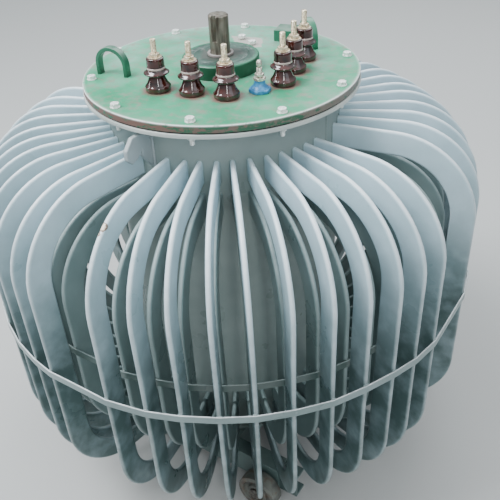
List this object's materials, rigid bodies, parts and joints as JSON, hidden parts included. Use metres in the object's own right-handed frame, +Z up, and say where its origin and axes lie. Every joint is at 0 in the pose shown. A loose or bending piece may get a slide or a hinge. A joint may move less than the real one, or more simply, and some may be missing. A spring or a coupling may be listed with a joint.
{
  "type": "induction voltage regulator",
  "caption": "Oil-immersed induction voltage regulator: round tank in a cage of bent flat cooling tubes, bolted cover with porcelain bushings and shaft, on rollers.",
  "frame": {"origin": "on the floor, at the axis of the tank and shaft", "axes": "+Z up along the shaft; the base beams run along X; the lifting lugs lie at -Y (front) and +Y (rear)"},
  "size_m": [1.3388, 1.3424, 1.274],
  "materials": {
    "tank": "air-dried grey-blue enamel, brushed on",
    "cover": "green primer enamel, worn at the edge",
    "bolt": "zinc-plated steel",
    "gasket": "black oil-resistant rubber",
    "porcelain": "brown glazed porcelain",
    "brass": "turned brass",
    "shaft": "turned steel, oiled",
    "blue": "blue enamel",
    "nickel": "nickel-plated brass",
    "seal": "grey enamel",
    "base": "grey enamel over mill scale",
    "roller": "cast iron, worn tread"
  },
  "bodies": {
    "tank": {"tank_wall_front": "tank", "tank_wall_rear": "tank", "tank_bottom": "tank", "tank_flange": "tank", "cover_gasket": "gasket", "cover_plate": "cover", "cover_bolts": "bolt", "bearing_hub": "cover", "seal_ring": "seal", "bushings_front_row": "porcelain", "bushings_side_row": "porcelain", "terminal_studs_front_row": "brass", "terminal_studs_side_row": "brass", "fitting_base": "blue", "fitting_plug": "nickel", "cover_eye_left": "cover", "cover_eye_right": "cover", "drive_seat": "cover", "tank_lug_front": "tank", "tank_lug_rear": "tank", "outer_belt": "tank", "inner_belt": "tank", "base_beam_front": "base", "base_beam_rear": "base", "base_cross_left": "base", "base_cross_right": "base", "roller_brackets": "base", "roller_axles": "roller", "outer_tubes_front_right": "tank", "inner_tubes_front_right": "tank", "outer_tubes_front_left": "tank", "inner_tubes_front_left": "tank", "outer_tubes_rear_left": "tank", "inner_tubes_rear_left": "tank", "outer_tubes_rear_right": "tank", "inner_tubes_rear_right": "tank"},
    "shaft": {"rotor_shaft": "shaft"},
    "roller_front_right": {"roller_front_right": "roller"},
    "roller_front_left": {"roller_front_left": "roller"},
    "roller_rear_left": {"roller_rear_left": "roller"},
    "roller_rear_right": {"roller_rear_right": "roller"}
  },
  "joints": [
    {"name": "shaft_turn", "type": "hinge", "parent": "tank", "child": "shaft", "pos_m": [0, 0, 1.14], "axis": [0, 0, 1], "range_deg": [0, 90]},
    {"name": "roller_front_right_roll", "type": "hinge", "parent": "tank", "child": "roller_front_right", "pos_m": [0.3, -0.372, 0.06], "axis": [0, 1, 0], "continuous": true},
    {"name": "roller_front_left_roll", "type": "hinge", "parent": "tank", "child": "roller_front_left", "pos_m": [-0.3, -0.372, 0.06], "axis": [0, 1, 0], "continuous": true},
    {"name": "roller_rear_left_roll", "type": "hinge", "parent": "tank", "child": "roller_rear_left", "pos_m": [-0.3, 0.372, 0.06], "axis": [0, 1, 0], "continuous": true},
    {"name": "roller_rear_right_roll", "type": "hinge", "parent": "tank", "child": "roller_rear_right", "pos_m": [0.3, 0.372, 0.06], "axis": [0, 1, 0], "continuous": true}
  ]
}
